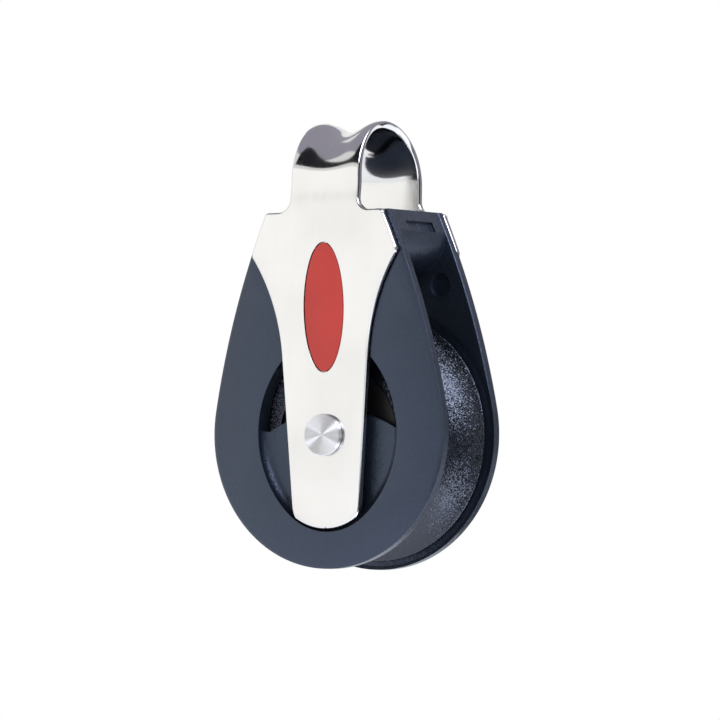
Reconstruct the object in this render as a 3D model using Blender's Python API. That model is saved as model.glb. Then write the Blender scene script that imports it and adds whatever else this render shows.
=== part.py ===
"""Single sheave block for 12 mm line: 50 mm ball bearing sheave, loop head on a one-piece strap.

Lengths are metres. Every piece is modelled about the axle: X is across the block, Y runs along the
axle with the front at -Y, and Z points up to the head loop. The parent empty then hangs the whole
block below its head loop, so that the world origin is where a lashing or shackle bears.
"""

from math import acos, asin, atan2, cos, pi, radians, sin, sqrt

import bmesh
import bpy
from mathutils import Matrix, Vector

MM = 0.001

# Driving dimensions
SHEAVE_RADIUS = 25.0 * MM
GROOVE_ROOT_RADIUS = 19.3 * MM
CHEEK_RADIUS = 27.1 * MM
CHEEK_FACE = 11.0 * MM  # mid plane to a cheek's outer face
CHEEK_INNER_FACE = 8.6 * MM
CHEEK_TOP = 44.75 * MM
CHEEK_CENTRE_Z = 0.4 * MM  # the cheek's round end is this far above the axle
STRAP_FACE = 11.95 * MM
STRAP_THICKNESS = 1.5 * MM
AXLE_RADIUS = 3.0 * MM
BALL_DIAMETER = 4.76 * MM
BALLS_PER_ROW = 13
GAP = 0.25 * MM  # between pieces that touch in the real block
CUT_REACH = 2 * MM  # how far a cutter goes past the face it cuts
CLEAR_INSIDE = 6 * MM  # this close to the mid plane a cheek's cutter is clear of its web and hub
CLEAR_OUTSIDE = 15 * MM  # this far from the mid plane a cutter is clear of every plate
CIRCLE_STEPS = 48
SHEAVE_STEPS = 60

# Cheek outline: a round end, then a long flank arc on each side
FLANK_RADIUS = 167.0 * MM
FLANK_START = radians(10.2)
EDGE_CHAMFER = 0.8 * MM
EDGE_CHAMFER_DEPTH = 0.45 * MM
INNER_EDGE_CHAMFER = 0.15 * MM

# Oval dish in each outer face, with the web as its floor and a window above the axle
DISH_SIDE_RADIUS = 21.66 * MM
DISH_SIDE_OFFSET = 5.34 * MM
DISH_END_RADIUS = 13.4 * MM
DISH_END_OFFSET = 6.3 * MM
DISH_FILLET = 2.3 * MM
WEB_OUTER = CHEEK_FACE - DISH_FILLET
WEB_INNER = 7.4 * MM
WEB_RADIUS = 20.3 * MM
WINDOW_SILL_RADIUS = 30.0 * MM
WINDOW_SILL_TOP = 5.0 * MM
WINDOW_CORNER = 1.3 * MM
WINDOW_SIDE_START_Z = 1.5 * MM
HUB_RADIUS = 7.5 * MM
HUB_INNER = 7.1 * MM

# Sheave pocket in each inner face
POCKET_RADIUS = 26.1 * MM
POCKET_FLOOR = 9.3 * MM
POCKET_LEAD_RADIUS = 28.0 * MM
POCKET_LIFT = 0.8 * MM
MOULD_MARK_RADIUS = 2.4 * MM
MOULD_MARK_DEPTH = 0.8 * MM
MOULD_MARK = (14.8 * MM, 30.2 * MM)

# Bridge that joins the cheeks above the sheave
BRIDGE_UNDERSIDE = 32.6 * MM
BRIDGE_SHOULDER_Z = 40.5 * MM
BRIDGE_UNDERSIDE_HALF = 7.5 * MM
BRIDGE_LOWER_CORNER = (16.0 * MM, 33.2 * MM)
KEY_LENGTH = 10.2 * MM
KEY_HEIGHT = 2.2 * MM
KEY_DEPTH = 0.5 * MM
KEY_CENTRE_Z = 42.1 * MM
KEY_LEAN = radians(23)
PEG_RADIUS = 1.4 * MM
PEG_LENGTH = 1.75 * MM
PEG_PLACE = (5.0 * MM, 39.0 * MM)

# Strap
STRAP_TIP_Z = -18.7 * MM
STRAP_END_RADIUS = 12.7 * MM
STRAP_END_HALF = 7.8 * MM
STRAP_TIP_TURN = 0.05  # the end arc starts this far off the middle, in radians
STRAP_TAPER_START_Z = -16.0 * MM
STRAP_WAIST_HALF = 10.1 * MM
STRAP_WAIST_Z = 16.0 * MM
STRAP_FLARE_RADIUS = 41.0 * MM
SHOULDER_TIP_Z = 36.25 * MM
SHOULDER_INSET = 0.65 * MM
SHOULDER_CORNER = 1.0 * MM
NECK_HALF = 8.0 * MM
NECK_FILLET = 2.6 * MM
CROWN_HALF = 7.75 * MM
CROWN_CENTRE_Z = 50.9 * MM
CROWN_RADIUS = 12.2 * MM
CROWN_CENTRE_Y = 1.0 * MM
CROWN_LEAN = 0.7 * MM  # how far forward the top of the crown stands from the arch's centre
CROWN_SADDLE = 2.3 * MM  # how far the middle of the crown dips below its two humps
HUMP_PLACE = 0.87  # share of the crown's half width
REAR_SPRING_START_Z = 11.0 * MM  # the rear plate leans out from here up to the crown
BADGE_HALF_LENGTH = 12.9 * MM
BADGE_HALF_WIDTH = 4.55 * MM
BADGE_CENTRE_Z = 25.5 * MM
BADGE_THICKNESS = 0.5 * MM
BADGE_CLEARANCE = 0.18 * MM
BADGE_EDGE = (0.15 * MM, 0.12 * MM)  # inset and depth of its chamfer

# Axle, bearing and sheave
AXLE_HEAD_RADIUS = 4.15 * MM
AXLE_HEAD_FACE = 13.1 * MM
RACE_RADIUS = 7.6 * MM
RACE_HALF_LENGTH = 6.8 * MM
BORE_RADIUS = 12.6 * MM
BORE_RIB_HALF = 0.4 * MM
BORE_RIB_RADIUS = 11.3 * MM
BALL_ROW_Y = 2.95 * MM
RETAINER_SEAT_RADIUS = 13.7 * MM
RETAINER_SEAT_Y = 5.4 * MM
RETAINER_THICKNESS = 0.8 * MM
SHEAVE_HUB_FACE = 6.9 * MM
SHEAVE_DISH_RADIUS = 20.8 * MM
SHEAVE_FACE = 8.9 * MM
GROOVE_LIP_Y = 8.3 * MM

FRONT_LEAN = CROWN_CENTRE_Y - CROWN_RADIUS + STRAP_FACE
REAR_SPRING = CROWN_CENTRE_Y + CROWN_RADIUS - STRAP_FACE
AXLE_BELOW_EYE = CROWN_CENTRE_Z + CROWN_RADIUS - CROWN_SADDLE - STRAP_THICKNESS


def clear_scene():
    for obj in list(bpy.data.objects):
        bpy.data.objects.remove(obj, do_unlink=True)


def add_material(name, colour, roughness, metallic):
    material = bpy.data.materials.new(name)
    material.use_nodes = True
    shader = material.node_tree.nodes["Principled BSDF"]
    shader.inputs["Base Color"].default_value = (*colour, 1)
    shader.inputs["Roughness"].default_value = roughness
    shader.inputs["Metallic"].default_value = metallic
    return material


def add_object(name, bm, parent, material=None):
    """The bmesh as an object that rides on the parent, with outward normals and smooth round faces."""
    bmesh.ops.recalc_face_normals(bm, faces=bm.faces)
    mesh = bpy.data.meshes.new(name)
    bm.to_mesh(mesh)
    bm.free()
    mesh.shade_smooth()
    mesh.set_sharp_from_angle(angle=radians(30))
    if material:
        mesh.materials.append(material)
    obj = bpy.data.objects.new(name, mesh)
    obj.parent = parent
    bpy.context.scene.collection.objects.link(obj)
    return obj


def arc(centre, radius, start, end, steps):
    """Points (x, z) along an arc, both ends included."""
    angles = [start + (end - start) * i / steps for i in range(steps + 1)]
    return [(centre[0] + radius * cos(a), centre[1] + radius * sin(a)) for a in angles]


def mirrored(right_side):
    """A closed outline from its right side, which runs from bottom to top."""
    left_side = [(-x, z) for x, z in reversed(right_side) if x > 1e-6]
    return right_side + left_side


def loft(loops):
    """A closed body through loops of (x, z) points, given as (y, loop) pairs from front to back."""
    bm = bmesh.new()
    rings = [[bm.verts.new((x, y, z)) for x, z in loop] for y, loop in loops]
    for ring, following in zip(rings, rings[1:]):
        for i in range(len(ring)):
            j = (i + 1) % len(ring)
            bm.faces.new((ring[i], ring[j], following[j], following[i]))
    bm.faces.new(rings[0])
    bm.faces.new(rings[-1])
    return bm


def prism(outline, front, back):
    return loft([(front, outline), (back, outline)])


def turned(profile, steps=CIRCLE_STEPS):
    """A profile of (radius, y) points, spun about the axle. It may start and end on the axis."""
    bm = bmesh.new()
    points = [bm.verts.new((radius, y, 0)) for radius, y in profile]
    closed = profile[0][0] > 0
    ends = points[1:] + points[:1] if closed else points[1:]
    edges = [bm.edges.new(pair) for pair in zip(points, ends)]
    bmesh.ops.spin(bm, geom=points + edges, cent=(0, 0, 0), axis=(0, 1, 0), angle=2 * pi,
                   steps=steps, use_merge=True)
    bmesh.ops.remove_doubles(bm, verts=bm.verts, dist=1e-6)
    return bm


def boolean(obj, other, operation):
    modifier = obj.modifiers.new(f"{operation.lower()} {other.name}", "BOOLEAN")
    modifier.operation = operation
    modifier.object = other
    modifier.solver = "EXACT"
    other.hide_render = True
    other.display_type = "WIRE"


def bake(obj):
    """The object's modifiers applied to its mesh, and their cutters removed."""
    bpy.context.view_layer.update()
    graph = bpy.context.evaluated_depsgraph_get()
    mesh = bpy.data.meshes.new_from_object(obj.evaluated_get(graph))
    tools = [modifier.object for modifier in obj.modifiers if modifier.type == "BOOLEAN"]
    obj.modifiers.clear()
    obj.data = mesh
    for tool in tools:
        bpy.data.objects.remove(tool, do_unlink=True)
    mesh.shade_smooth()
    mesh.set_sharp_from_angle(angle=radians(30))


# Outlines in the XZ plane


def flank_centre():
    reach = CHEEK_RADIUS - FLANK_RADIUS
    return reach * cos(FLANK_START), CHEEK_CENTRE_Z + reach * sin(FLANK_START)


def flank_angle(z, inset=0.0):
    return asin((z - flank_centre()[1]) / (FLANK_RADIUS - inset))


def flank_x(z, inset=0.0):
    return flank_centre()[0] + (FLANK_RADIUS - inset) * cos(flank_angle(z, inset))


def cheek_outline(inset=0.0, top=CHEEK_TOP):
    round_end = arc((0, CHEEK_CENTRE_Z), CHEEK_RADIUS - inset, -pi / 2, FLANK_START, 20)
    flank = arc(flank_centre(), FLANK_RADIUS - inset, FLANK_START, flank_angle(top, inset), 8)
    return mirrored(round_end + flank[1:])


def dish_outline(inset=0.0):
    """The oval of four arcs, counted from its lowest point."""
    turn = atan2(DISH_END_OFFSET, DISH_SIDE_OFFSET)
    low_end = arc((0, CHEEK_CENTRE_Z - DISH_END_OFFSET), DISH_END_RADIUS - inset, -pi / 2, -turn, 6)
    side = arc((-DISH_SIDE_OFFSET, CHEEK_CENTRE_Z), DISH_SIDE_RADIUS - inset, -turn, turn, 14)
    top_end = arc((0, CHEEK_CENTRE_Z + DISH_END_OFFSET), DISH_END_RADIUS - inset, turn, pi / 2, 6)
    return mirrored(low_end + side[1:] + top_end[1:])


def window_outline():
    """The dish's upper part down to a shallow sill, and around the hub."""
    sill_centre = WINDOW_SILL_TOP - WINDOW_SILL_RADIUS
    turn = atan2(DISH_END_OFFSET, DISH_SIDE_OFFSET)
    side_start = asin((WINDOW_SIDE_START_Z - CHEEK_CENTRE_Z) / DISH_SIDE_RADIUS)
    side = arc((-DISH_SIDE_OFFSET, CHEEK_CENTRE_Z), DISH_SIDE_RADIUS, side_start, turn, 8)
    top_end = arc((0, CHEEK_CENTRE_Z + DISH_END_OFFSET), DISH_END_RADIUS, turn, pi / 2, 6)
    sill_reach = side[0][0] - WINDOW_CORNER
    meeting = sill_crossing(sill_centre)
    hub = arc((0, 0), HUB_RADIUS, pi / 2, atan2(meeting[1], meeting[0]), 6)
    sill = arc((0, sill_centre), WINDOW_SILL_RADIUS, atan2(meeting[1] - sill_centre, meeting[0]),
               acos(sill_reach / WINDOW_SILL_RADIUS), 5)
    corner = (side[0][0] - 0.3 * WINDOW_CORNER, sill[-1][1] + 0.1 * WINDOW_CORNER)
    return mirrored(hub + sill[1:] + [corner] + side + top_end[1:])


def sill_crossing(sill_centre):
    """Where the sill arc meets the hub circle."""
    z = (HUB_RADIUS**2 - WINDOW_SILL_RADIUS**2 + sill_centre**2) / (2 * sill_centre)
    return sqrt(HUB_RADIUS**2 - z**2), z


def bridge_outline():
    """The wall between the cheeks: an arched underside, a rolled lower corner and the cheek's flank."""
    reach = asin(BRIDGE_UNDERSIDE_HALF / BRIDGE_UNDERSIDE)
    underside = arc((0, 0), BRIDGE_UNDERSIDE, pi / 2, pi / 2 - reach, 4)
    start = Vector(underside[-1])
    corner = Vector(BRIDGE_LOWER_CORNER)
    end = Vector((flank_x(BRIDGE_SHOULDER_Z, INNER_EDGE_CHAMFER), BRIDGE_SHOULDER_Z))
    roll = []
    for i in range(1, 9):
        t = i / 8
        roll.append(tuple(start * (1 - t) ** 2 + corner * 2 * t * (1 - t) + end * t**2))
    flank = arc(flank_centre(), FLANK_RADIUS - INNER_EDGE_CHAMFER,
                flank_angle(BRIDGE_SHOULDER_Z, INNER_EDGE_CHAMFER),
                flank_angle(CHEEK_TOP, INNER_EDGE_CHAMFER), 3)
    return mirrored(underside + roll + flank[1:])


def flare_side(clearance, end_z):
    """The strap's hollow side from its waist up to a height, as (half width, z)."""
    taper = atan2(STRAP_WAIST_HALF - STRAP_END_HALF, STRAP_WAIST_Z - STRAP_TAPER_START_Z)
    radius = STRAP_FLARE_RADIUS - clearance
    centre = (STRAP_WAIST_HALF + STRAP_FLARE_RADIUS * cos(taper),
              STRAP_WAIST_Z - STRAP_FLARE_RADIUS * sin(taper))
    start = pi - taper
    end = pi - asin((end_z - centre[1]) / radius)
    return arc(centre, radius, start, end, 9)


def strap_side():
    """The strap's right edge from its lower end up to the springing of the crown, as (half width, z)."""
    end_centre = STRAP_TIP_Z + STRAP_END_RADIUS
    end_turn = asin(STRAP_END_HALF / STRAP_END_RADIUS)
    end = arc((0, end_centre), STRAP_END_RADIUS, -pi / 2 + STRAP_TIP_TURN, -pi / 2 + end_turn, 7)
    flare = flare_side(0, SHOULDER_TIP_Z)
    low = Vector(end[-1])
    waist = Vector(flare[0])
    bend = low.lerp(waist, (REAR_SPRING_START_Z - low.y) / (waist.y - low.y))
    shoulder = []
    for i in range(1, 5):
        z = SHOULDER_TIP_Z + (CHEEK_TOP - SHOULDER_CORNER - SHOULDER_TIP_Z) * i / 4
        shoulder.append((flank_x(z, SHOULDER_INSET), z))
    corner_x = shoulder[-1][0]
    corner = [(corner_x - 0.35 * SHOULDER_CORNER, CHEEK_TOP - 0.25 * SHOULDER_CORNER),
              (corner_x - SHOULDER_CORNER, CHEEK_TOP - 0.08 * MM)]
    fillet = arc((NECK_HALF + NECK_FILLET, CHEEK_TOP + NECK_FILLET), NECK_FILLET, 1.5 * pi, pi, 6)
    return end + [tuple(bend)] + flare + shoulder + corner + fillet


# Pieces


def share(z, start, end):
    """0 up to start, 1 from end on, and even in between."""
    return min(max((z - start) / (end - start), 0), 1)


def front_plate_y(z):
    t = share(z, CHEEK_TOP, CROWN_CENTRE_Z)
    return -STRAP_FACE + FRONT_LEAN * t * t * (3 - 2 * t)


def rear_spring(z):
    """How far the rear plate stands out at a height."""
    return REAR_SPRING * share(z, REAR_SPRING_START_Z, CROWN_CENTRE_Z)


def strap_sheet():
    """The strap's outer surface: both side plates and the crown, as a grid of rows across the width."""
    columns = [i / 6 - 1 for i in range(13)]
    rows = []
    side = strap_side()
    for half, z in side:
        rows.append([(v * half, front_plate_y(z), z) for v in columns])
    steps = 24
    for i in range(steps + 1):
        angle = pi * i / steps
        rise = sin(angle)
        half = NECK_HALF + (CROWN_HALF - NECK_HALF) * rise
        row = []
        for v in columns:
            dip = CROWN_SADDLE * (1 - (v / HUMP_PLACE) ** 2) ** 2
            radius = CROWN_RADIUS - dip * rise**2
            y = CROWN_CENTRE_Y - radius * cos(angle) - CROWN_LEAN * rise**2
            row.append((v * half, y, CROWN_CENTRE_Z + radius * rise))
        rows.append(row)
    for half, z in reversed(side):
        rows.append([(v * half, STRAP_FACE + rear_spring(z), z) for v in columns])
    bm = bmesh.new()
    grid = [[bm.verts.new(point) for point in row] for row in rows]
    for low, high in zip(grid, grid[1:]):
        for i in range(len(columns) - 1):
            bm.faces.new((low[i], low[i + 1], high[i + 1], high[i]))
    return bm


def lean_with_rear_plate(bm):
    for vertex in bm.verts:
        vertex.co.y += rear_spring(vertex.co.z)
    return bm


def badge_outline(margin=0.0):
    """An upright ellipse."""
    side = []
    for i in range(1, 20):
        turn = pi * i / 20 - pi / 2
        side.append(((BADGE_HALF_WIDTH + margin) * cos(turn),
                     BADGE_CENTRE_Z + (BADGE_HALF_LENGTH + margin) * sin(turn)))
    return mirrored(side)


def add_badge_cutter(name, side, parent):
    near = STRAP_FACE - BADGE_THICKNESS - GAP
    cutter = prism(badge_outline(BADGE_CLEARANCE), side * near, side * (STRAP_FACE + CUT_REACH))
    return add_object(name, lean_with_rear_plate(cutter) if side > 0 else cutter, parent)


def add_strap(parent, material):
    strap = add_object("head_strap", strap_sheet(), parent, material)
    plate = strap.modifiers.new("plate", "SOLIDIFY")
    plate.thickness = STRAP_THICKNESS
    plate.offset = -1
    plate.use_even_offset = True
    hole = disc(AXLE_RADIUS + GAP, -CLEAR_OUTSIDE, CLEAR_OUTSIDE, 36)
    boolean(strap, add_object("strap_hole_cutter", hole, parent), "DIFFERENCE")
    boolean(strap, add_badge_cutter("front_badge_cutter", -1, parent), "DIFFERENCE")
    boolean(strap, add_badge_cutter("rear_badge_cutter", 1, parent), "DIFFERENCE")
    return strap


def add_badge(name, side, parent, material):
    back = STRAP_FACE - BADGE_THICKNESS
    inset, depth = BADGE_EDGE
    edge = STRAP_FACE - depth
    loops = [(side * back, badge_outline()), (side * edge, badge_outline()),
             (side * STRAP_FACE, badge_outline(-inset))]
    badge = loft(loops)
    return add_object(name, lean_with_rear_plate(badge) if side > 0 else badge, parent, material)


def plate_body():
    edge = cheek_outline()
    loops = [
        (-CHEEK_FACE, cheek_outline(EDGE_CHAMFER)),
        (-CHEEK_FACE + EDGE_CHAMFER_DEPTH, edge),
        (-CHEEK_INNER_FACE - INNER_EDGE_CHAMFER, edge),
        (-CHEEK_INNER_FACE, cheek_outline(INNER_EDGE_CHAMFER)),
    ]
    return loft(loops)


def dish_cutter():
    loops = [(-CHEEK_FACE - CUT_REACH, dish_outline())]
    for i in range(6):
        turn = pi / 2 * i / 5
        loops.append((-CHEEK_FACE + DISH_FILLET * sin(turn), dish_outline(DISH_FILLET * (1 - cos(turn)))))
    return loft(loops)


def recess_cutter():
    """The space the strap lies in, from inside the dish to past the cheek's edges."""
    flare = flare_side(GAP, SHOULDER_TIP_Z + 6 * MM)
    side = [(flare[0][0], 12 * MM)] + flare + [(26 * MM, SHOULDER_TIP_Z + 6 * MM), (26 * MM, 50 * MM)]
    return prism(mirrored(side), -CHEEK_FACE - CUT_REACH, -STRAP_FACE + STRAP_THICKNESS + GAP)


def pocket_cutter(inner_radius):
    lead = POCKET_FLOOR - 0.35 * MM
    return turned([(inner_radius, -POCKET_FLOOR), (POCKET_RADIUS, -POCKET_FLOOR), (POCKET_RADIUS, -lead),
                   (POCKET_LEAD_RADIUS, -CHEEK_INNER_FACE + 0.2 * MM), (POCKET_LEAD_RADIUS, -CLEAR_INSIDE),
                   (inner_radius, -CLEAR_INSIDE)])


def disc(radius, front, back, steps=CIRCLE_STEPS):
    return turned([(0, front), (radius, front), (radius, back), (0, back)], steps)


def key_cutter(side):
    bm = bmesh.new()
    size = Matrix.Diagonal((4 * MM, KEY_LENGTH / 2 + 1 * MM, KEY_HEIGHT, 1))
    centre_x = flank_x(KEY_CENTRE_Z, INNER_EDGE_CHAMFER) - KEY_DEPTH + 2 * MM
    centre = Vector((side * centre_x, 0.5 * MM - KEY_LENGTH / 4, KEY_CENTRE_Z))
    place = Matrix.Translation(centre) @ Matrix.Rotation(-side * KEY_LEAN, 4, "Y") @ size
    bmesh.ops.create_cube(bm, size=1, matrix=place)
    return bm


def add_cheek(parent, material):
    """One moulding; the rear cheek is a second one, turned half round about Z."""
    cheek = add_object("front_cheek", plate_body(), parent, material)
    seam = -0.15 * MM
    join = -CHEEK_INNER_FACE - 0.6 * MM

    def tool(name, bm, operation, x=0.0, z=0.0):
        other = add_object(name, bm, parent)
        other.location = (x, 0, z)
        boolean(cheek, other, operation)

    tool("bridge", prism(bridge_outline(), join, seam), "UNION")
    tool("web", disc(WEB_RADIUS + 0.3 * MM, join, -WEB_INNER), "UNION")
    tool("peg", disc(PEG_RADIUS, -CUT_REACH, seam + PEG_LENGTH, 20), "UNION", *PEG_PLACE)
    tool("dish", dish_cutter(), "DIFFERENCE")
    tool("hub", disc(HUB_RADIUS, -STRAP_FACE + STRAP_THICKNESS + GAP, -HUB_INNER, 40), "UNION")
    tool("window", prism(window_outline(), -CHEEK_FACE - CUT_REACH, -CLEAR_INSIDE), "DIFFERENCE")
    tool("pocket", pocket_cutter(WEB_RADIUS), "DIFFERENCE")
    tool("pocket_top", pocket_cutter(WEB_RADIUS + 2 * MM), "DIFFERENCE", 0, POCKET_LIFT)
    tool("strap_recess", recess_cutter(), "DIFFERENCE")
    tool("bore", disc(AXLE_RADIUS + GAP, -CLEAR_OUTSIDE, -CLEAR_INSIDE, 36), "DIFFERENCE")
    tool("socket", disc(PEG_RADIUS + GAP, seam - PEG_LENGTH - GAP, CUT_REACH, 20), "DIFFERENCE",
         -PEG_PLACE[0], PEG_PLACE[1])
    for side in (-1, 1):
        mark_floor = -CHEEK_INNER_FACE - MOULD_MARK_DEPTH
        tool(f"mark{side}", disc(MOULD_MARK_RADIUS, mark_floor, -CLEAR_INSIDE, 24), "DIFFERENCE",
             side * MOULD_MARK[0], MOULD_MARK[1])
        tool(f"key{side}", key_cutter(side), "DIFFERENCE")
    bake(cheek)
    return cheek


def add_rear_cheek(front, parent, material):
    rear = bpy.data.objects.new("rear_cheek", front.data.copy())
    rear.data.materials.clear()
    rear.data.materials.append(material)
    rear.parent = parent
    rear.rotation_euler.z = pi
    bpy.context.scene.collection.objects.link(rear)
    return rear


def sheave_profile():
    """The sheave's section on one side of the mid plane, from the bore rib round to the groove's root."""
    rise = SHEAVE_RADIUS - GROOVE_ROOT_RADIUS
    groove_radius = (GROOVE_LIP_Y**2 + rise**2) / (2 * rise)
    groove_centre = GROOVE_ROOT_RADIUS + groove_radius
    lip_turn = asin(GROOVE_LIP_Y / groove_radius)
    groove = []
    for i in range(1, 6):
        turn = lip_turn * (1 - i / 5)
        groove.append((groove_centre - groove_radius * cos(turn), groove_radius * sin(turn)))
    return [
        (BORE_RIB_RADIUS, BORE_RIB_HALF),
        (BORE_RADIUS, BORE_RIB_HALF),
        (BORE_RADIUS, RETAINER_SEAT_Y),
        (RETAINER_SEAT_RADIUS, RETAINER_SEAT_Y),
        (RETAINER_SEAT_RADIUS, SHEAVE_HUB_FACE),
        (SHEAVE_DISH_RADIUS, SHEAVE_HUB_FACE),
        (SHEAVE_DISH_RADIUS, SHEAVE_FACE),
        (SHEAVE_RADIUS - 0.6 * MM, SHEAVE_FACE),
        (SHEAVE_RADIUS, GROOVE_LIP_Y + 0.25 * MM),
        (SHEAVE_RADIUS, GROOVE_LIP_Y),
    ] + groove


def add_sheave(parent, material):
    half = sheave_profile()
    other = [(radius, -y) for radius, y in reversed(half[:-1])]
    return add_object("sheave", turned(half + other, SHEAVE_STEPS), parent, material)


def add_axle(parent, material):
    under_head = STRAP_FACE + 0.15 * MM
    edge = 0.25 * MM
    profile = [
        (0, -AXLE_HEAD_FACE),
        (AXLE_HEAD_RADIUS - edge, -AXLE_HEAD_FACE),
        (AXLE_HEAD_RADIUS, -AXLE_HEAD_FACE + edge),
        (AXLE_HEAD_RADIUS, -under_head),
        (AXLE_RADIUS, -under_head),
        (AXLE_RADIUS, under_head),
        (AXLE_HEAD_RADIUS, under_head),
        (AXLE_HEAD_RADIUS, AXLE_HEAD_FACE - 0.55 * MM),
        (AXLE_HEAD_RADIUS - 0.8 * MM, AXLE_HEAD_FACE - 0.15 * MM),
        (AXLE_HEAD_RADIUS - 2.2 * MM, AXLE_HEAD_FACE),
        (0, AXLE_HEAD_FACE),
    ]
    return add_object("axle_pin", turned(profile, 48), parent, material)


def add_race(parent, material):
    edge = 0.3 * MM
    inner = AXLE_RADIUS + GAP
    profile = [(inner, -RACE_HALF_LENGTH), (RACE_RADIUS - edge, -RACE_HALF_LENGTH),
               (RACE_RADIUS, -RACE_HALF_LENGTH + edge), (RACE_RADIUS, RACE_HALF_LENGTH - edge),
               (RACE_RADIUS - edge, RACE_HALF_LENGTH), (inner, RACE_HALF_LENGTH)]
    return add_object("inner_race", turned(profile, 48), parent, material)


def add_retainer(name, side, parent, material):
    inner = RACE_RADIUS + 0.5 * MM
    outer = RETAINER_SEAT_RADIUS - GAP
    near = side * (RETAINER_SEAT_Y + GAP)
    far = near + side * RETAINER_THICKNESS
    return add_object(name, turned([(inner, near), (outer, near), (outer, far), (inner, far)], 48),
                      parent, material)


def add_balls(parent, material):
    """Two rows of balls, the rear row turned half a pitch."""
    orbit = (RACE_RADIUS + BORE_RADIUS) / 2
    pitch = 2 * pi / BALLS_PER_ROW
    for row, side in (("front", -1), ("rear", 1)):
        for i in range(BALLS_PER_ROW):
            angle = pitch * (i + (0.5 if side > 0 else 0))
            bm = bmesh.new()
            bmesh.ops.create_icosphere(bm, subdivisions=2, radius=BALL_DIAMETER / 2)
            ball = add_object(f"ball_{row}_{i + 1:02d}", bm, parent, material)
            ball.location = (orbit * cos(angle), side * BALL_ROW_Y, orbit * sin(angle))


def main():
    clear_scene()
    stainless = add_material("polished_stainless", (0.78, 0.78, 0.76), 0.22, 1.0)
    turned_steel = add_material("turned_stainless", (0.74, 0.74, 0.73), 0.28, 1.0)
    nylon = add_material("cheek_nylon", (0.062, 0.07, 0.09), 0.5, 0.0)
    acetal = add_material("sheave_acetal", (0.018, 0.02, 0.026), 0.38, 0.0)
    race_acetal = add_material("race_acetal", (0.03, 0.03, 0.032), 0.4, 0.0)
    ball_acetal = add_material("ball_acetal", (0.7, 0.69, 0.66), 0.3, 0.0)
    red = add_material("badge_red", (0.62, 0.045, 0.035), 0.45, 0.0)

    axle = bpy.data.objects.new("axle_centre", None)
    axle.location.z = -AXLE_BELOW_EYE
    bpy.context.scene.collection.objects.link(axle)

    add_strap(axle, stainless)
    add_badge("front_badge", -1, axle, red)
    add_badge("rear_badge", 1, axle, red)
    add_rear_cheek(add_cheek(axle, nylon), axle, nylon)
    add_axle(axle, turned_steel)
    add_race(axle, race_acetal)
    add_sheave(axle, acetal)
    add_retainer("front_retainer", -1, axle, race_acetal)
    add_retainer("rear_retainer", 1, axle, race_acetal)
    add_balls(axle, ball_acetal)


main()
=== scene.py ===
"""Looks for the single sheave block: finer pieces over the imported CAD, studio light and camera.

Lengths are metres. Pieces are modelled about the axle, with X across the block, Y along the axle and
the front at -Y, and are then lowered by AXLE_BELOW_EYE into the row frame.
"""

from math import acos, asin, atan2, cos, hypot, pi, radians, sin, sqrt

import bmesh
import bpy
from mathutils import Matrix, Vector


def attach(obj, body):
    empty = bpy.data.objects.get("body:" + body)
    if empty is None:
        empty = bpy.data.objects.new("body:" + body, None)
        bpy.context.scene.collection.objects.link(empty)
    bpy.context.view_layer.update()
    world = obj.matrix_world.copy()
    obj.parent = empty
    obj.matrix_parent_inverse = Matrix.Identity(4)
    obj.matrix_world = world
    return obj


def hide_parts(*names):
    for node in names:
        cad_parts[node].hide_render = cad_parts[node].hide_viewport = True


MM = 0.001

# Whole block. The sizes are the CAD's; only the fineness, the roundings and the bridge's seam differ.
SHEAVE_RADIUS = 25.0 * MM
GROOVE_ROOT_RADIUS = 19.3 * MM
CHEEK_RADIUS = 27.1 * MM
CHEEK_FACE = 11.0 * MM
CHEEK_INNER_FACE = 8.6 * MM
CHEEK_TOP = 44.75 * MM
CHEEK_CENTRE_Z = 0.4 * MM  # the cheek's round end is this far above the axle
STRAP_FACE = 11.95 * MM
STRAP_THICKNESS = 1.5 * MM
AXLE_RADIUS = 3.0 * MM
BALL_DIAMETER = 4.76 * MM
BALLS_PER_ROW = 13
GAP = 0.25 * MM  # between pieces that touch in the real block
CUT_REACH = 2 * MM  # how far a cutter goes past the face it cuts
CLEAR_INSIDE = 6 * MM  # this close to the mid plane a cheek's cutter is clear of its web and hub
CLEAR_OUTSIDE = 15 * MM  # this far from the mid plane a cutter is clear of every plate
CHEEK_JOIN = 0.6 * MM  # how far the bridge and the web reach into the cheek's plate

# Cheeks
FLANK_RADIUS = 167.0 * MM
FLANK_START = radians(10.2)
EDGE_CHAMFER = 0.8 * MM
EDGE_CHAMFER_DEPTH = 0.45 * MM
INNER_EDGE_CHAMFER = 0.15 * MM

DISH_SIDE_RADIUS = 21.66 * MM
DISH_SIDE_OFFSET = 5.34 * MM
DISH_END_RADIUS = 13.4 * MM
DISH_END_OFFSET = 6.3 * MM
DISH_FILLET = 2.3 * MM
WEB_INNER = 7.4 * MM
WEB_RADIUS = 20.3 * MM
WEB_OVERLAP = 0.3 * MM  # past its edge, into the plate
WINDOW_SILL_RADIUS = 30.0 * MM
WINDOW_SILL_TOP = 5.0 * MM
WINDOW_CORNER = 1.3 * MM
WINDOW_SIDE_START_Z = 1.5 * MM
HUB_RADIUS = 7.5 * MM
HUB_INNER = 7.1 * MM

POCKET_RADIUS = 26.1 * MM
POCKET_FLOOR = 9.3 * MM
POCKET_LEAD_RADIUS = 28.0 * MM
POCKET_WALL = 0.35 * MM  # the straight part of its side
POCKET_LEAD_DEPTH = 0.2 * MM
POCKET_LIFT = 0.8 * MM  # a second cut, this much higher, runs the pocket out under the bridge
MOULD_MARK_RADIUS = 2.4 * MM
MOULD_MARK_DEPTH = 0.8 * MM
MOULD_MARK = (14.8 * MM, 30.2 * MM)

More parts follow.
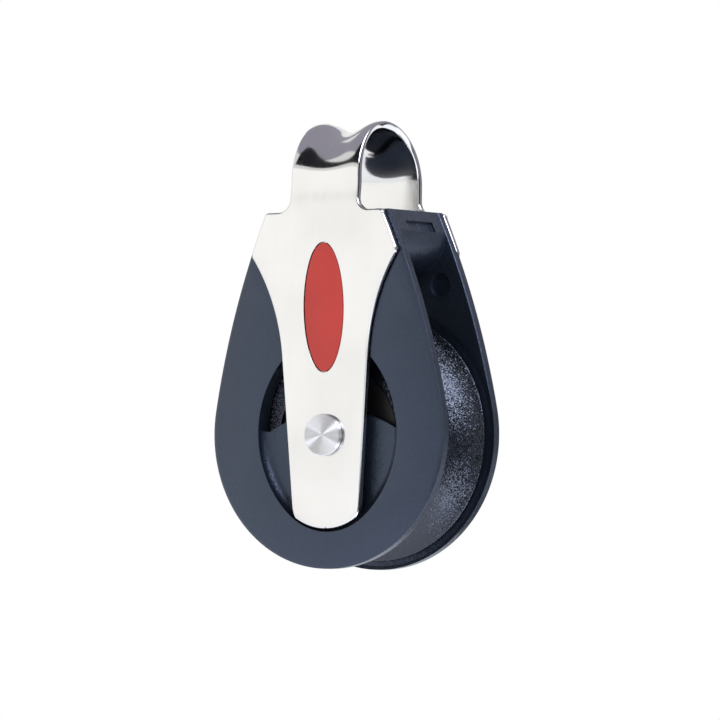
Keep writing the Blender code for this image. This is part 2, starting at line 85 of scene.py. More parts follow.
BRIDGE_UNDERSIDE = 32.6 * MM
BRIDGE_SHOULDER_Z = 40.5 * MM
BRIDGE_UNDERSIDE_HALF = 7.5 * MM
BRIDGE_LOWER_CORNER = (16.0 * MM, 33.2 * MM)
BRIDGE_SEAM = 0.04 * MM
KEY_LENGTH = 10.2 * MM
KEY_HEIGHT = 2.2 * MM
KEY_DEPTH = 0.5 * MM
KEY_CENTRE_Z = 42.1 * MM
KEY_LEAN = radians(23)

# Strap and badges
STRAP_TIP_Z = -18.7 * MM
STRAP_END_RADIUS = 12.7 * MM
STRAP_END_HALF = 7.8 * MM
STRAP_TIP_TURN = 0.005  # the end arc starts this far off the middle, in radians
STRAP_CORNER_TURN = 0.06  # and ends this far short of the plate's corner
STRAP_CORNER = (0.05 * MM, 0.9 * MM)  # the corner's control point, outward and above the arc's end
STRAP_TAPER_START_Z = -16.0 * MM
STRAP_TAPER_LEAD = 0.06  # share of the way to the waist at which the corner has run out
STRAP_WAIST_HALF = 10.1 * MM
STRAP_WAIST_Z = 16.0 * MM
STRAP_FLARE_RADIUS = 41.0 * MM
SHOULDER_TIP_Z = 36.25 * MM
SHOULDER_TIP_CUT = (0.3 * MM, 0.5 * MM)  # how far the tip's blunt end reaches below and above it
SHOULDER_INSET = 0.65 * MM
SHOULDER_CORNER = 1.0 * MM
SHOULDER_FLAT = 1.2 * MM  # the top edge's first stretch, in from the corner
RECESS_FOOT_Z = 12.0 * MM  # inside the dish, where the strap already stands free
STRAP_EDGE = 0.4 * MM  # rounding of the plate's edges
NECK_HALF = 8.0 * MM
NECK_FILLET = 2.6 * MM
CROWN_HALF = 7.75 * MM
CROWN_CENTRE_Z = 50.9 * MM
CROWN_RADIUS = 12.2 * MM
CROWN_CENTRE_Y = 1.0 * MM
CROWN_LEAN = 0.7 * MM  # how far forward the top of the crown stands from the arch's centre
CROWN_SADDLE = 2.3 * MM  # how far the middle of the crown dips below its two humps
HUMP_PLACE = 0.87  # share of the crown's half width
REAR_SPRING_START_Z = 11.0 * MM  # the rear plate leans out from here up to the crown
FRONT_LEAN = CROWN_CENTRE_Y - CROWN_RADIUS + STRAP_FACE
REAR_SPRING = CROWN_CENTRE_Y + CROWN_RADIUS - STRAP_FACE
BADGE_HALF_LENGTH = 12.9 * MM
BADGE_HALF_WIDTH = 4.55 * MM
BADGE_CENTRE_Z = 25.5 * MM
BADGE_THICKNESS = 0.5 * MM
BADGE_CLEARANCE = 0.18 * MM
BADGE_ROUNDING = 0.2 * MM

# Turned pieces
AXLE_HEAD_RADIUS = 4.15 * MM
AXLE_HEAD_FACE = 13.1 * MM
AXLE_HEAD_GAP = 0.15 * MM  # under the heads
REAR_DOME = ((0, 0.5 * MM), (0.9 * MM, 0.12 * MM), (2.2 * MM, 0))  # (inset, drop) of its corners
RACE_RADIUS = 7.6 * MM
RACE_HALF_LENGTH = 6.8 * MM
BORE_RADIUS = 12.6 * MM
BORE_RIB_HALF = 0.4 * MM
BORE_RIB_RADIUS = 11.3 * MM
BALL_ROW_Y = 2.95 * MM
RETAINER_SEAT_RADIUS = 13.7 * MM
RETAINER_SEAT_Y = 5.4 * MM
RETAINER_THICKNESS = 0.8 * MM
RETAINER_CLEARANCE = 0.5 * MM  # round the race
SHEAVE_HUB_FACE = 6.9 * MM
SHEAVE_DISH_RADIUS = 20.8 * MM
SHEAVE_FACE = 8.9 * MM
RIM_CHAMFER = 0.3 * MM
GROOVE_LIP_Y = 8.3 * MM

POLISH_START = -14 * MM  # row heights between which the strap goes from satin to polished
POLISH_END = -7 * MM
AXLE_BELOW_EYE = CROWN_CENTRE_Z + CROWN_RADIUS - CROWN_SADDLE - STRAP_THICKNESS

# Grain of the mouldings
ROUGHNESS_SPREAD = 0.06
PATCH_SIZE = 40  # patches of colour are this many times as wide as the grain
FACET_SHARE = 1.7  # facets to a feature of the grain

# Fineness of the meshes
SHEAVE_STEPS = 160
CIRCLE_STEPS = 128
TURNED_STEPS = 96
MARK_STEPS = 64
BORE_STEPS = 48
CROWN_STEPS = 72
BADGE_STEPS = 64
STRAP_COLUMNS = 14
STRAP_EDGE_STEPS = 5
CARD_STEPS = 36
CREASE_ANGLE = radians(30)  # edges turning more than this stay sharp
MERGE_DISTANCE = 1e-6

# Studio
FLOOR_Z = -130 * MM
FLOOR_HALF = 12
CARD_DISTANCE = 1.6
LIGHT_DISTANCE = 1.5
LENS_REACH = 30  # the camera sees this far

# Camera
CAMERA_AZIMUTH = radians(32.104)
CAMERA_ELEVATION = radians(-2.392)
CAMERA_ROLL = radians(-0.436)
CAMERA_LENS = 430.39
CAMERA_DISTANCE = 1725.8 * MM
CAMERA_TARGET = (0.723 * MM, 14.885 * MM, -58.9 * MM)  # right and up as it sees them, then world height

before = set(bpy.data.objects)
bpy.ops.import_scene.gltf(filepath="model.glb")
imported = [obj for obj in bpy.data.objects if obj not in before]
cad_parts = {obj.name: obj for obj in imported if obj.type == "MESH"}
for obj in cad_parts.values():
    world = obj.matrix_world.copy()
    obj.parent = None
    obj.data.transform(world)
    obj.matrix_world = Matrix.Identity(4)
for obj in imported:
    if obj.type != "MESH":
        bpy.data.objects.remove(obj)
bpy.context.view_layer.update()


# Meshes


def make_object(name, bm):
    """The bmesh as an object about the axle, with smooth faces and creases where they meet sharply."""
    bmesh.ops.recalc_face_normals(bm, faces=bm.faces)
    mesh = bpy.data.meshes.new(name)
    bm.to_mesh(mesh)
    bm.free()
    mesh.shade_smooth()
    mesh.set_sharp_from_angle(angle=CREASE_ANGLE)
    obj = bpy.data.objects.new(name, mesh)
    bpy.context.scene.collection.objects.link(obj)
    return obj


def arc(centre, radius, start, end, steps):
    """Points (x, z) along an arc, both ends included."""
    angles = [start + (end - start) * i / steps for i in range(steps + 1)]
    return [(centre[0] + radius * cos(a), centre[1] + radius * sin(a)) for a in angles]


def curve_point(start, control, end, t):
    """The place at share t of a quadratic curve."""
    return tuple(start * (1 - t) ** 2 + control * 2 * t * (1 - t) + end * t**2)


def mirrored(right_side):
    """A closed outline from its right side, which runs from bottom to top."""
    return right_side + [(-x, z) for x, z in reversed(right_side) if x > MERGE_DISTANCE]


def join_rings(bm, rings):
    """Faces between rings of as many vertices each, and over both ends."""
    for ring, following in zip(rings, rings[1:]):
        for i in range(len(ring)):
            j = (i + 1) % len(ring)
            bm.faces.new((ring[i], ring[j], following[j], following[i]))
    bm.faces.new(rings[0])
    bm.faces.new(rings[-1])


def loft(loops):
    """A closed body through loops of (x, z) points, given as (y, loop) pairs."""
    bm = bmesh.new()
    join_rings(bm, [[bm.verts.new((x, y, z)) for x, z in loop] for y, loop in loops])
    return bm


def prism(outline, front, back):
    """A straight body through an (x, z) outline, between two places along the axle."""
    return loft([(front, outline), (back, outline)])


def turned(profile, steps=CIRCLE_STEPS):
    """A profile of (radius, y) points, spun about the axle. It may start and end on the axis."""
    bm = bmesh.new()
    points = [bm.verts.new((radius, y, 0)) for radius, y in profile]
    closed = profile[0][0] > 0
    ends = points[1:] + points[:1] if closed else points[1:]
    edges = [bm.edges.new(pair) for pair in zip(points, ends)]
    bmesh.ops.spin(bm, geom=points + edges, cent=(0, 0, 0), axis=(0, 1, 0), angle=2 * pi,
                   steps=steps, use_merge=True)
    bmesh.ops.remove_doubles(bm, verts=bm.verts, dist=MERGE_DISTANCE)
    return bm


def disc(radius, front, back, steps=CIRCLE_STEPS):
    """A cylinder about the axle."""
    return turned([(0, front), (radius, front), (radius, back), (0, back)], steps)


def rounded(profile, radii, steps=4):
    """A profile of (radius, y) points with its corners rounded; radii gives one rounding per point."""
    result = []
    count = len(profile)
    for i, (point, size) in enumerate(zip(profile, radii)):
        corner = Vector(point)
        if not size:
            result.append(tuple(corner))
            continue
        before = (Vector(profile[i - 1]) - corner).normalized() * size
        after = (Vector(profile[(i + 1) % count]) - corner).normalized() * size
        for k in range(steps + 1):
            t = k / steps
            result.append(tuple(corner + before * (1 - t) ** 2 + after * t**2))
    return result


def boolean(obj, other, operation):
    """Adds the operation to the object's modifiers; bake() applies it."""
    modifier = obj.modifiers.new(other.name, "BOOLEAN")
    modifier.operation = operation
    modifier.object = other
    modifier.solver = "EXACT"
    other.hide_render = True


def bake(obj):
    """The object's modifiers applied to its mesh, and their cutters removed."""
    bpy.context.view_layer.update()
    graph = bpy.context.evaluated_depsgraph_get()
    mesh = bpy.data.meshes.new_from_object(obj.evaluated_get(graph))
    tools = [modifier.object for modifier in obj.modifiers if modifier.type == "BOOLEAN"]
    obj.modifiers.clear()
    obj.data = mesh
    for tool in tools:
        bpy.data.objects.remove(tool, do_unlink=True)
    mesh.shade_smooth()
    mesh.set_sharp_from_angle(angle=CREASE_ANGLE)


def finish_piece(obj, body, nodes, material):
    obj.data.transform(Matrix.Translation((0, 0, -AXLE_BELOW_EYE)))
    obj.data.materials.clear()
    obj.data.materials.append(material)
    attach(obj, body)
    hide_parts(*nodes)


# Cheeks


def flank_centre():
    """The centre of the flank's arc, which runs on smoothly from the round end."""
    reach = CHEEK_RADIUS - FLANK_RADIUS
    return reach * cos(FLANK_START), CHEEK_CENTRE_Z + reach * sin(FLANK_START)


def flank_angle(z, inset=0.0):
    """Where on the flank's arc a height is reached."""
    return asin((z - flank_centre()[1]) / (FLANK_RADIUS - inset))


def flank_x(z, inset=0.0):
    """The cheek's half width at a height, on its flank."""
    return flank_centre()[0] + (FLANK_RADIUS - inset) * cos(flank_angle(z, inset))


def cheek_outline(inset=0.0):
    """A round lower end that runs on into two nearly straight flanks, and a flat top."""
    round_end = arc((0, CHEEK_CENTRE_Z), CHEEK_RADIUS - inset, -pi / 2, FLANK_START, 60)
    flank = arc(flank_centre(), FLANK_RADIUS - inset, FLANK_START, flank_angle(CHEEK_TOP, inset), 30)
    return mirrored(round_end + flank[1:])


def dish_outline(inset=0.0):
    """An upright oval of four arcs."""
    turn = atan2(DISH_END_OFFSET, DISH_SIDE_OFFSET)
    low_end = arc((0, CHEEK_CENTRE_Z - DISH_END_OFFSET), DISH_END_RADIUS - inset, -pi / 2, -turn, 16)
    side = arc((-DISH_SIDE_OFFSET, CHEEK_CENTRE_Z), DISH_SIDE_RADIUS - inset, -turn, turn, 40)
    top_end = arc((0, CHEEK_CENTRE_Z + DISH_END_OFFSET), DISH_END_RADIUS - inset, turn, pi / 2, 16)
    return mirrored(low_end + side[1:] + top_end[1:])


def sill_crossing(sill_centre):
    """Where the sill arc meets the hub circle."""
    z = (HUB_RADIUS**2 - WINDOW_SILL_RADIUS**2 + sill_centre**2) / (2 * sill_centre)
    return sqrt(HUB_RADIUS**2 - z**2), z


def window_outline():
    """The dish's upper part down to a shallow sill, and around the hub."""
    sill_centre = WINDOW_SILL_TOP - WINDOW_SILL_RADIUS
    turn = atan2(DISH_END_OFFSET, DISH_SIDE_OFFSET)
    side_start = asin((WINDOW_SIDE_START_Z - CHEEK_CENTRE_Z) / DISH_SIDE_RADIUS)
    side = arc((-DISH_SIDE_OFFSET, CHEEK_CENTRE_Z), DISH_SIDE_RADIUS, side_start, turn, 24)
    top_end = arc((0, CHEEK_CENTRE_Z + DISH_END_OFFSET), DISH_END_RADIUS, turn, pi / 2, 16)
    sill_reach = side[0][0] - WINDOW_CORNER
    meeting = sill_crossing(sill_centre)
    hub = arc((0, 0), HUB_RADIUS, pi / 2, atan2(meeting[1], meeting[0]), 16)
    sill = arc((0, sill_centre), WINDOW_SILL_RADIUS, atan2(meeting[1] - sill_centre, meeting[0]),
               acos(sill_reach / WINDOW_SILL_RADIUS), 12)
    low = Vector(sill[-1])
    high = Vector(side[0])
    control = Vector((high.x, low.y))
    corner = [curve_point(low, control, high, i / 6) for i in range(1, 6)]
    return mirrored(hub + sill[1:] + corner + side + top_end[1:])


def bridge_outline():
    """The wall between the cheeks: an arched underside, a rolled lower corner and the cheek's flank."""
    reach = asin(BRIDGE_UNDERSIDE_HALF / BRIDGE_UNDERSIDE)
    underside = arc((0, 0), BRIDGE_UNDERSIDE, pi / 2, pi / 2 - reach, 12)
    start = Vector(underside[-1])
    corner = Vector(BRIDGE_LOWER_CORNER)
    end = Vector((flank_x(BRIDGE_SHOULDER_Z, INNER_EDGE_CHAMFER), BRIDGE_SHOULDER_Z))
    roll = [curve_point(start, corner, end, i / 24) for i in range(1, 25)]
    flank = arc(flank_centre(), FLANK_RADIUS - INNER_EDGE_CHAMFER,
                flank_angle(BRIDGE_SHOULDER_Z, INNER_EDGE_CHAMFER),
                flank_angle(CHEEK_TOP, INNER_EDGE_CHAMFER), 6)
    return mirrored(underside + roll + flank[1:])


def plate_body():
    """The cheek's plate, with a broad chamfer outside and a fine one inside."""
    edge = cheek_outline()
    return loft([
        (-CHEEK_FACE, cheek_outline(EDGE_CHAMFER)),
        (-CHEEK_FACE + EDGE_CHAMFER_DEPTH, edge),
        (-CHEEK_INNER_FACE - INNER_EDGE_CHAMFER, edge),
        (-CHEEK_INNER_FACE, cheek_outline(INNER_EDGE_CHAMFER)),
    ])


def dish_cutter():
    """The oval dish, with a quarter-round fillet down to its floor."""
    loops = [(-CHEEK_FACE - CUT_REACH, dish_outline())]
    for i in range(15):
        turn = pi / 2 * i / 14
        inset = DISH_FILLET * (1 - cos(turn))
        loops.append((-CHEEK_FACE + DISH_FILLET * sin(turn), dish_outline(inset)))
    return loft(loops)


def recess_cutter():
    """The space the strap lies in, from inside the dish to past the cheek's edges."""
    flare_top = SHOULDER_TIP_Z + 6 * MM
    flare = flare_side(GAP, flare_top, 30)
    past_edge = [(CHEEK_RADIUS, flare_top), (CHEEK_RADIUS, CHEEK_TOP + CUT_REACH)]
    side = [(flare[0][0], RECESS_FOOT_Z)] + flare + past_edge
    return prism(mirrored(side), -CHEEK_FACE - CUT_REACH, -STRAP_FACE + STRAP_THICKNESS + GAP)


def pocket_cutter(inner_radius):
    """The ring-shaped space for the sheave's rim, with a lead that opens towards the mid plane."""
    return turned([
        (inner_radius, -POCKET_FLOOR),
        (POCKET_RADIUS, -POCKET_FLOOR),
        (POCKET_RADIUS, POCKET_WALL - POCKET_FLOOR),
        (POCKET_LEAD_RADIUS, POCKET_LEAD_DEPTH - CHEEK_INNER_FACE),
        (POCKET_LEAD_RADIUS, -CLEAR_INSIDE),
        (inner_radius, -CLEAR_INSIDE),
    ])


def key_cutter(side):
    """Half of a shallow rectangular recess in the bridge's side, from its end to just past the seam."""
    bm = bmesh.new()
    past_seam = 1 * MM
    size = Matrix.Diagonal((2 * CUT_REACH, KEY_LENGTH / 2 + past_seam, KEY_HEIGHT, 1))
    centre_x = flank_x(KEY_CENTRE_Z, INNER_EDGE_CHAMFER) - KEY_DEPTH + CUT_REACH
    centre = Vector((side * centre_x, past_seam / 2 - KEY_LENGTH / 4, KEY_CENTRE_Z))
    place = Matrix.Translation(centre) @ Matrix.Rotation(-side * KEY_LEAN, 4, "Y") @ size
    bmesh.ops.create_cube(bm, size=1, matrix=place)
    return bm


def make_cheek():
    """The front cheek: a plate with half of the bridge, a web and a hub, less everything cut from it."""
    cheek = make_object("cheek_front", plate_body())
    join = -CHEEK_INNER_FACE - CHEEK_JOIN
    mark_floor = -CHEEK_INNER_FACE - MOULD_MARK_DEPTH

    def tool(name, bm, operation, x=0.0, z=0.0):
        other = make_object(name, bm)
        other.location = (x, 0, z)
        boolean(cheek, other, operation)

    tool("bridge", prism(bridge_outline(), join, -BRIDGE_SEAM / 2), "UNION")
    tool("web", disc(WEB_RADIUS + WEB_OVERLAP, join, -WEB_INNER), "UNION")
    tool("dish", dish_cutter(), "DIFFERENCE")
    tool("hub", disc(HUB_RADIUS, -STRAP_FACE + STRAP_THICKNESS + GAP, -HUB_INNER), "UNION")
    tool("window", prism(window_outline(), -CHEEK_FACE - CUT_REACH, -CLEAR_INSIDE), "DIFFERENCE")
    tool("pocket", pocket_cutter(WEB_RADIUS), "DIFFERENCE")
    tool("pocket_top", pocket_cutter(WEB_RADIUS + CUT_REACH), "DIFFERENCE", 0, POCKET_LIFT)
    tool("strap_recess", recess_cutter(), "DIFFERENCE")
    tool("bore", disc(AXLE_RADIUS + GAP, -CLEAR_OUTSIDE, -CLEAR_INSIDE, BORE_STEPS), "DIFFERENCE")
    for side in (-1, 1):
        tool(f"mark{side}", disc(MOULD_MARK_RADIUS, mark_floor, -CLEAR_INSIDE, MARK_STEPS), "DIFFERENCE",
             side * MOULD_MARK[0], MOULD_MARK[1])
        tool(f"key{side}", key_cutter(side), "DIFFERENCE")
    bake(cheek)
    return cheek


def make_rear_cheek(front):
    """The same moulding, turned half round."""
    mesh = front.data.copy()
    mesh.transform(Matrix.Rotation(pi, 4, "Z"))
    rear = bpy.data.objects.new("cheek_rear", mesh)
    bpy.context.scene.collection.objects.link(rear)
    return rear


# Strap and badges


def flare_side(clearance, end_z, steps):
    """The strap's hollow side from its waist up to a height, as (half width, z)."""
    taper = atan2(STRAP_WAIST_HALF - STRAP_END_HALF, STRAP_WAIST_Z - STRAP_TAPER_START_Z)
    radius = STRAP_FLARE_RADIUS - clearance
    centre = (STRAP_WAIST_HALF + STRAP_FLARE_RADIUS * cos(taper),
              STRAP_WAIST_Z - STRAP_FLARE_RADIUS * sin(taper))
    return arc(centre, radius, pi - taper, pi - asin((end_z - centre[1]) / radius), steps)


def strap_side():
    """The plate's right edge, from its lower end to the springing of the crown, as (half width, z)."""
    end_centre = STRAP_TIP_Z + STRAP_END_RADIUS
    end_turn = asin(STRAP_END_HALF / STRAP_END_RADIUS)
    end = arc((0, end_centre), STRAP_END_RADIUS, -pi / 2 + STRAP_TIP_TURN,
              -pi / 2 + end_turn - STRAP_CORNER_TURN, 18)
    flare = flare_side(0, SHOULDER_TIP_Z - SHOULDER_TIP_CUT[0], 36)
    low = Vector(end[-1])
    waist = Vector(flare[0])
    control = Vector((STRAP_END_HALF + STRAP_CORNER[0], low.y + STRAP_CORNER[1]))
    taper_start = control.lerp(waist, STRAP_TAPER_LEAD)
    turn = [curve_point(low, control, taper_start, i / 5) for i in range(1, 6)]
    taper = [tuple(taper_start.lerp(waist, i / 12)) for i in range(1, 12)]
    shoulder_start = SHOULDER_TIP_Z + SHOULDER_TIP_CUT[1]
    shoulder_run = CHEEK_TOP - SHOULDER_CORNER - shoulder_start
    shoulder_heights = [shoulder_start + shoulder_run * i / 12 for i in range(13)]
    shoulder = [(flank_x(z, SHOULDER_INSET), z) for z in shoulder_heights]
    corner_x = shoulder[-1][0] - SHOULDER_CORNER
    corner = arc((corner_x, CHEEK_TOP - SHOULDER_CORNER), SHOULDER_CORNER, 0.15, pi / 2 - 0.05, 7)
    top = [(corner_x - SHOULDER_FLAT, CHEEK_TOP)]
    fillet = arc((NECK_HALF + NECK_FILLET, CHEEK_TOP + NECK_FILLET), NECK_FILLET, 1.5 * pi, pi, 14)
    neck_start = CHEEK_TOP + NECK_FILLET
    neck = [(NECK_HALF, neck_start + (CROWN_CENTRE_Z - neck_start) * i / 5) for i in range(1, 5)]
    return end + turn + taper + flare + shoulder + corner + top + fillet + neck


def share_of(z, start, end):
    """0 up to start, 1 from end on, and a straight rise in between."""
    return min(max((z - start) / (end - start), 0), 1)


def front_lean(z):
    """How far the front plate leans in at a height."""
    t = share_of(z, CHEEK_TOP, CROWN_CENTRE_Z)
    return FRONT_LEAN * t * t * (3 - 2 * t)


def rear_spring(z):
    """How far the rear plate stands out at a height."""
    return REAR_SPRING * share_of(z, REAR_SPRING_START_Z, CROWN_CENTRE_Z)


def lean_with_rear_plate(bm):
    """The bmesh, moved out as far as the rear plate leans."""
    for vertex in bm.verts:
        vertex.co.y += rear_spring(vertex.co.z)
    return bm


def strap_point(u, s, depth):
    """A place on the strap: u across, s up the front and over the crown, depth below its outside."""
    crown_length = pi * CROWN_RADIUS
    if s <= CROWN_CENTRE_Z:
        return u, -STRAP_FACE + depth + front_lean(s), s
    if s >= CROWN_CENTRE_Z + crown_length:
        z = 2 * CROWN_CENTRE_Z + crown_length - s
        return u, STRAP_FACE - depth + rear_spring(z), z
    angle = (s - CROWN_CENTRE_Z) / CROWN_RADIUS
    rise = sin(angle)
    half = NECK_HALF + (CROWN_HALF - NECK_HALF) * rise
    v = u / half
    hump = 1 - (v / HUMP_PLACE) ** 2
    radius = CROWN_RADIUS - CROWN_SADDLE * hump**2 * rise**2
    slope = CROWN_SADDLE * rise**2 * 4 * hump * v / (HUMP_PLACE**2 * half)
    length = hypot(1, slope)
    x = u + depth * slope / length
    radius -= depth / length
    y = CROWN_CENTRE_Y - radius * cos(angle) - CROWN_LEAN * rise**2
    return x, y, CROWN_CENTRE_Z + radius * rise


def strap_rows():
    """(edge point, outward direction) in the flat pattern, from the front tip over to the rear tip."""
    side = strap_side()
    crown_length = pi * CROWN_RADIUS
    crown = []
    for i in range(CROWN_STEPS + 1):
        share = i / CROWN_STEPS
        half = NECK_HALF + (CROWN_HALF - NECK_HALF) * sin(pi * share)
        crown.append((half, CROWN_CENTRE_Z + crown_length * share))
    rear = [(half, 2 * CROWN_CENTRE_Z + crown_length - z) for half, z in reversed(side)]
    edge = side + crown + rear
    rows = []
    for i, point in enumerate(edge):
        before = Vector(edge[max(i - 1, 0)])
        after = Vector(edge[min(i + 1, len(edge) - 1)])
        run = (after - before).normalized()
        rows.append((point, (run.y, -run.x)))
    return rows


def edge_rounding(face):
    """(inset, depth) round an edge of the plate, from its face to its side; face 0 is the outside."""
    result = []
    for k in range(STRAP_EDGE_STEPS + 1):
        turn = pi / 2 * k / STRAP_EDGE_STEPS
        depth = STRAP_EDGE * (1 - cos(turn))
        result.append((STRAP_EDGE * (1 - sin(turn)), depth if face == 0 else STRAP_THICKNESS - depth))
    return result


def strap_ring(edge_point, outward):
    """One row round the strap: across its outside, round an edge, and back across its inside."""
    u, s = edge_point
    out_u, out_s = outward
    ring = []

    def across(depth, start, end):
        flat_half = u - out_u * STRAP_EDGE
        for k in range(1, STRAP_COLUMNS):
            share = start + (end - start) * k / STRAP_COLUMNS
            ring.append(strap_point(share * flat_half, s - out_s * STRAP_EDGE, depth))

    for side, face in ((1, 0), (1, 1), (-1, 1), (-1, 0)):
        rounding = edge_rounding(face)
        if (side, face) in ((1, 1), (-1, 0)):
            rounding.reverse()
        for inset, depth in rounding:
            ring.append(strap_point(side * (u - out_u * inset), s - out_s * inset, depth))
        if (side, face) == (1, 1):
            across(STRAP_THICKNESS, 1, -1)
    across(0, -1, 1)
    return ring


def strap_mesh():
    """Rows across the strap, each a flat rounded rectangle, joined up and bent over the crown."""
    bm = bmesh.new()
    rings = []
    for edge_point, outward in strap_rows():
        rings.append([bm.verts.new(place) for place in strap_ring(edge_point, outward)])
    join_rings(bm, rings)
    bmesh.ops.remove_doubles(bm, verts=bm.verts, dist=MERGE_DISTANCE / 10)
    return bm


def badge_outline(margin=0.0):
    """An upright ellipse."""
    side = []
    for i in range(1, BADGE_STEPS):
        turn = pi * i / BADGE_STEPS - pi / 2
        side.append(((BADGE_HALF_WIDTH + margin) * cos(turn),
                     BADGE_CENTRE_Z + (BADGE_HALF_LENGTH + margin) * sin(turn)))
    return mirrored(side)


def make_strap():
    """The strap with its axle hole and the two seats for the badges."""
    strap = make_object("strap", strap_mesh())
    hole = disc(AXLE_RADIUS + GAP, -CLEAR_OUTSIDE, CLEAR_OUTSIDE, BORE_STEPS)
    boolean(strap, make_object("strap_hole", hole), "DIFFERENCE")
    recess_floor = STRAP_FACE - BADGE_THICKNESS - GAP
    for side in (-1, 1):
        cut = prism(badge_outline(BADGE_CLEARANCE), side * recess_floor, side * (STRAP_FACE + CUT_REACH))
        if side > 0:
            lean_with_rear_plate(cut)
        boolean(strap, make_object(f"badge_cut{side}", cut), "DIFFERENCE")
    bake(strap)
    return strap


def make_badge(name, side):
    """A blank oval inlay with a rounded edge; side is -1 at the front."""
    loops = [(side * (STRAP_FACE - BADGE_THICKNESS), badge_outline())]
    for i in range(5):
        turn = pi / 2 * i / 4
        drop = BADGE_ROUNDING * (1 - sin(turn))
        inset = BADGE_ROUNDING * (1 - cos(turn))
        loops.append((side * (STRAP_FACE - drop), badge_outline(-inset)))
    badge = loft(loops)
    return make_object(name, lean_with_rear_plate(badge) if side > 0 else badge)


# Turned pieces


def sheave_profile():
    """One side of the sheave as (radius, y), from its bore's rib out to just short of the groove's root."""
    rise = SHEAVE_RADIUS - GROOVE_ROOT_RADIUS
    groove_radius = (GROOVE_LIP_Y**2 + rise**2) / (2 * rise)
    groove_centre = GROOVE_ROOT_RADIUS + groove_radius
    lip_turn = asin(GROOVE_LIP_Y / groove_radius)
    groove = []
    for i in range(1, 16):
        turn = lip_turn * (1 - i / 16)
        groove.append((groove_centre - groove_radius * cos(turn), groove_radius * sin(turn)))
    corners = [
        (BORE_RIB_RADIUS, BORE_RIB_HALF, 0),
        (BORE_RADIUS, BORE_RIB_HALF, 0),
        (BORE_RADIUS, RETAINER_SEAT_Y, 0.15 * MM),
        (RETAINER_SEAT_RADIUS, RETAINER_SEAT_Y, 0),
        (RETAINER_SEAT_RADIUS, SHEAVE_HUB_FACE, 0.2 * MM),
        (SHEAVE_DISH_RADIUS, SHEAVE_HUB_FACE, 0.6 * MM),
        (SHEAVE_DISH_RADIUS, SHEAVE_FACE, 0.3 * MM),
        (SHEAVE_RADIUS - RIM_CHAMFER, SHEAVE_FACE, 0.25 * MM),
        (SHEAVE_RADIUS, SHEAVE_FACE - RIM_CHAMFER, 0.06 * MM),
        (SHEAVE_RADIUS, GROOVE_LIP_Y, 0.22 * MM),
    ]
    profile = [(radius, y) for radius, y, _ in corners] + groove
    return rounded(profile, [size for _, _, size in corners] + [0] * len(groove))


def make_sheave():
    """The wheel, alike on both sides of the mid plane."""
    half = sheave_profile()
    other = [(radius, -y) for radius, y in reversed(half)]
    return make_object("wheel", turned(half + [(GROOVE_ROOT_RADIUS, 0)] + other, SHEAVE_STEPS))


def make_axle():
    """The pin with a flat turned head at the front and a domed one at the rear."""
    under_head = STRAP_FACE + AXLE_HEAD_GAP
    dome = [(AXLE_HEAD_RADIUS - inset, AXLE_HEAD_FACE - drop) for inset, drop in REAR_DOME]
    profile = [
        (0, -AXLE_HEAD_FACE),
        (AXLE_HEAD_RADIUS, -AXLE_HEAD_FACE),
        (AXLE_HEAD_RADIUS, -under_head),
        (AXLE_RADIUS, -under_head),
        (AXLE_RADIUS, under_head),
        (AXLE_HEAD_RADIUS, under_head),
        *dome,
        (0, AXLE_HEAD_FACE),
    ]
    radii = [0, 0.22 * MM, 0, 0, 0, 0, 0.2 * MM, 0.4 * MM, 0.4 * MM, 0]
    return make_object("axle", turned(rounded(profile, radii), TURNED_STEPS))


def make_race():
    """The bush on the axle that the balls run on."""
    inner = AXLE_RADIUS + GAP
    profile = [(inner, -RACE_HALF_LENGTH), (RACE_RADIUS, -RACE_HALF_LENGTH),
               (RACE_RADIUS, RACE_HALF_LENGTH), (inner, RACE_HALF_LENGTH)]
    return make_object("race", turned(rounded(profile, [0, 0.3 * MM, 0.3 * MM, 0]), TURNED_STEPS))


def make_retainer(name, side):
    """The washer that closes one end of the sheave's bore."""
    inner = RACE_RADIUS + RETAINER_CLEARANCE
    outer = RETAINER_SEAT_RADIUS - GAP
    near = side * (RETAINER_SEAT_Y + GAP)
    far = near + side * RETAINER_THICKNESS
    profile = [(inner, near), (outer, near), (outer, far), (inner, far)]
    return make_object(name, turned(rounded(profile, [0, 0, 0.15 * MM, 0.15 * MM]), TURNED_STEPS))


def make_balls():
    """Both rows as one piece, the rear row turned half a pitch."""
    orbit = (RACE_RADIUS + BORE_RADIUS) / 2
    pitch = 2 * pi / BALLS_PER_ROW
    bm = bmesh.new()
    for side in (-1, 1):
        for i in range(BALLS_PER_ROW):
            angle = pitch * (i + (0.5 if side > 0 else 0))
            place = Matrix.Translation((orbit * cos(angle), side * BALL_ROW_Y, orbit * sin(angle)))
            bmesh.ops.create_uvsphere(bm, u_segments=24, v_segments=14, radius=BALL_DIAMETER / 2,
                                      matrix=place)
    return make_object("balls", bm)


# Materials


def new_material(name):
    """A material with its node tree and its shader."""
    material = bpy.data.materials.new(name)
    material.use_nodes = True
    tree = material.node_tree
    return material, tree, tree.nodes["Principled BSDF"]


def object_noise(tree, scale, detail=2.0, stretch=(1, 1, 1)):
    """Noise of scale features per metre in the piece's own coordinates."""
    place = tree.nodes.new("ShaderNodeTexCoord")
    mapping = tree.nodes.new("ShaderNodeMapping")
    mapping.inputs["Scale"].default_value = stretch
    noise = tree.nodes.new("ShaderNodeTexNoise")
    noise.inputs["Scale"].default_value = scale
    noise.inputs["Detail"].default_value = detail
    tree.links.new(place.outputs["Object"], mapping.inputs["Vector"])
    tree.links.new(mapping.outputs["Vector"], noise.inputs["Vector"])
    return noise.outputs["Fac"]


